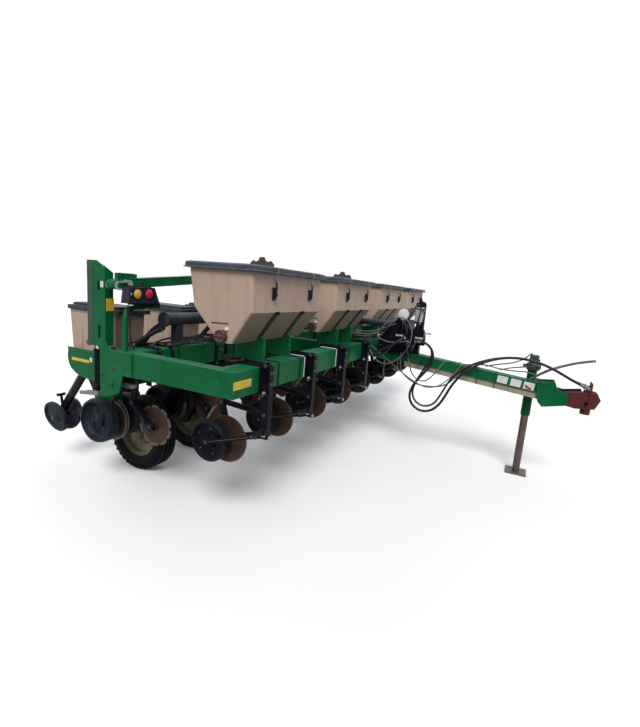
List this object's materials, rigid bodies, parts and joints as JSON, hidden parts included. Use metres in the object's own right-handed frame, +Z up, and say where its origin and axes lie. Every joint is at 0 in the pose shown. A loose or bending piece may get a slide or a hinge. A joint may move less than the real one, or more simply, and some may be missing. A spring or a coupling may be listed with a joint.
{
  "type": "seed drill",
  "caption": "Trailed row-crop seed drill with fertiliser tanks, seed hoppers, disc openers, folding markers, lifting wheels and drawbar.",
  "frame": {"origin": "on the ground under the middle of the machine, without its free hoses", "axes": "+Z up, -Y towards the tractor, +X the machine's left"},
  "size_m": [5.662, 4.854, 2.159],
  "materials": {
    "green_paint": "gloss paint, scuffed and dusty",
    "tan_plastic": "weathered moulded plastic",
    "lid_plastic": "faded dark plastic",
    "brown_plastic": "dull",
    "black_rubber": "dusty",
    "black_paint": "worn satin paint",
    "worn_steel": "rusty, polished at the edge",
    "bright_metal": "satin",
    "pale_paint": "aged paint",
    "rusty_casting": "rust and old red paint",
    "tyre": "worn, dusty"
  },
  "bodies": {
    "root": {"air_hoses": "black_rubber", "air_manifold": "black_paint", "canister": "bright_metal", "closing_arms": "black_paint", "closing_wheels": "black_rubber", "drawbar": "green_paint", "drawbar_liner": "pale_paint", "fan": "black_paint", "hitch_head": "rusty_casting", "hopper_shields": "green_paint", "hose_couplers": "bright_metal", "hose_inner": "black_rubber", "hose_outer": "black_rubber", "jack_sleeve": "green_paint", "lamp_brackets": "green_paint", "lamp_housings": "black_paint", "lid_latches": "black_rubber", "lift_rods": "worn_steel", "masts": "green_paint", "opener_shanks": "black_paint", "parallel_arms": "black_paint", "row_frames": "green_paint", "row_heads": "black_paint", "seed_discs": "worn_steel", "seed_hoppers": "tan_plastic", "seed_meters": "black_paint", "side_beams": "green_paint", "tank_1": "tan_plastic", "tank_2": "tan_plastic", "tank_3": "tan_plastic", "tank_4": "tan_plastic", "tank_cradles": "green_paint", "tank_outlets": "brown_plastic", "tank_straps": "black_rubber", "toolbars": "green_paint", "valve_block": "black_paint"},
    "lift": {"rockshaft": "black_paint"},
    "lift_barrels": {"lift_barrels": "black_paint"},
    "wheel_1": {"tyre_1": "tyre", "rim_1": "pale_paint"},
    "wheel_2": {"tyre_2": "tyre", "rim_2": "pale_paint"},
    "wheel_3": {"tyre_3": "tyre", "rim_3": "pale_paint"},
    "wheel_4": {"tyre_4": "tyre", "rim_4": "pale_paint"},
    "tank_lid_1": {"tank_lid_1": "lid_plastic"},
    "tank_lid_2": {"tank_lid_2": "lid_plastic"},
    "tank_lid_3": {"tank_lid_3": "lid_plastic"},
    "tank_lid_4": {"tank_lid_4": "lid_plastic"},
    "seed_hopper_lids": {"seed_hopper_lids": "lid_plastic"},
    "marker_right": {"marker_arm_right": "green_paint"},
    "marker_left": {"marker_arm_left": "green_paint"},
    "marker_disc_right": {"marker_disc_right": "worn_steel"},
    "marker_disc_left": {"marker_disc_left": "worn_steel"},
    "jack": {"jack_leg": "worn_steel"},
    "coulters": {"coulters": "worn_steel"},
    "gauge_wheels": {"gauge_wheels": "black_rubber"},
    "opener_discs": {"opener_discs": "worn_steel"},
    "opener_wheels": {"opener_wheels": "black_paint"}
  },
  "joints": [
    {"name": "wheel_lift", "type": "hinge", "parent": "root", "child": "lift", "pos_m": [0, 1.147, 1.042], "axis": [1, 0, 0], "range_deg": [0, 42]},
    {"name": "lift_barrel_slide", "type": "slide", "parent": "root", "child": "lift_barrels", "axis": [0, 0, 1], "range_m": [0, 0.155]},
    {"name": "wheel_1_spin", "type": "hinge", "parent": "lift", "child": "wheel_1", "pos_m": [-2.1, 1.593, 0.358], "axis": [1, 0, 0], "continuous": true},
    {"name": "wheel_2_spin", "type": "hinge", "parent": "lift", "child": "wheel_2", "pos_m": [-1.4, 1.593, 0.358], "axis": [1, 0, 0], "continuous": true},
    {"name": "wheel_3_spin", "type": "hinge", "parent": "lift", "child": "wheel_3", "pos_m": [1.4, 1.593, 0.358], "axis": [1, 0, 0], "continuous": true},
    {"name": "wheel_4_spin", "type": "hinge", "parent": "lift", "child": "wheel_4", "pos_m": [2.1, 1.593, 0.358], "axis": [1, 0, 0], "continuous": true},
    {"name": "tank_lid_1_open", "type": "hinge", "parent": "root", "child": "tank_lid_1", "pos_m": [-2.1, 0.621, 1.944], "axis": [-1, 0, 0], "range_deg": [0, 95]},
    {"name": "tank_lid_2_open", "type": "hinge", "parent": "root", "child": "tank_lid_2", "pos_m": [-0.7, 0.621, 1.944], "axis": [-1, 0, 0], "range_deg": [0, 95]},
    {"name": "tank_lid_3_open", "type": "hinge", "parent": "root", "child": "tank_lid_3", "pos_m": [0.7, 0.621, 1.944], "axis": [-1, 0, 0], "range_deg": [0, 95]},
    {"name": "tank_lid_4_open", "type": "hinge", "parent": "root", "child": "tank_lid_4", "pos_m": [2.1, 0.621, 1.944], "axis": [-1, 0, 0], "range_deg": [0, 95]},
    {"name": "seed_hopper_lids_open", "type": "hinge", "parent": "root", "child": "seed_hopper_lids", "pos_m": [0, 1.338, 1.528], "axis": [1, 0, 0], "range_deg": [0, 85]},
    {"name": "marker_right_fold", "type": "hinge", "parent": "root", "child": "marker_right", "pos_m": [-2.795, 1.118, 1.79], "axis": [0, -1, 0], "range_deg": [0, 225]},
    {"name": "marker_left_fold", "type": "hinge", "parent": "root", "child": "marker_left", "pos_m": [2.795, 1.118, 1.79], "axis": [0, 1, 0], "range_deg": [0, 225]},
    {"name": "marker_disc_right_spin", "type": "hinge", "parent": "marker_right", "child": "marker_disc_right", "pos_m": [-1.108, 0.97, 1.969], "axis": [1, 0, 0], "continuous": true},
    {"name": "marker_disc_left_spin", "type": "hinge", "parent": "marker_left", "child": "marker_disc_left", "pos_m": [1.108, 0.97, 1.969], "axis": [1, 0, 0], "continuous": true},
    {"name": "jack_raise", "type": "slide", "parent": "root", "child": "jack", "axis": [0, 0, 1], "range_m": [0, 0.46]},
    {"name": "coulters_spin", "type": "hinge", "parent": "root", "child": "coulters", "pos_m": [0, 1.063, 0.63], "axis": [1, 0, 0], "continuous": true},
    {"name": "gauge_wheels_spin", "type": "hinge", "parent": "root", "child": "gauge_wheels", "pos_m": [0, 1.587, 0.602], "axis": [1, 0, 0], "continuous": true},
    {"name": "opener_discs_spin", "type": "hinge", "parent": "root", "child": "opener_discs", "pos_m": [0, 0.278, 0.71], "axis": [1, 0, 0], "continuous": true},
    {"name": "opener_wheels_spin", "type": "hinge", "parent": "root", "child": "opener_wheels", "pos_m": [0, 0.371, 0.698], "axis": [1, 0, 0], "continuous": true}
  ],
  "couplings": [
    {"joint": "lift_barrel_slide", "follows": "wheel_lift", "m_per_rad": 0.2062}
  ]
}
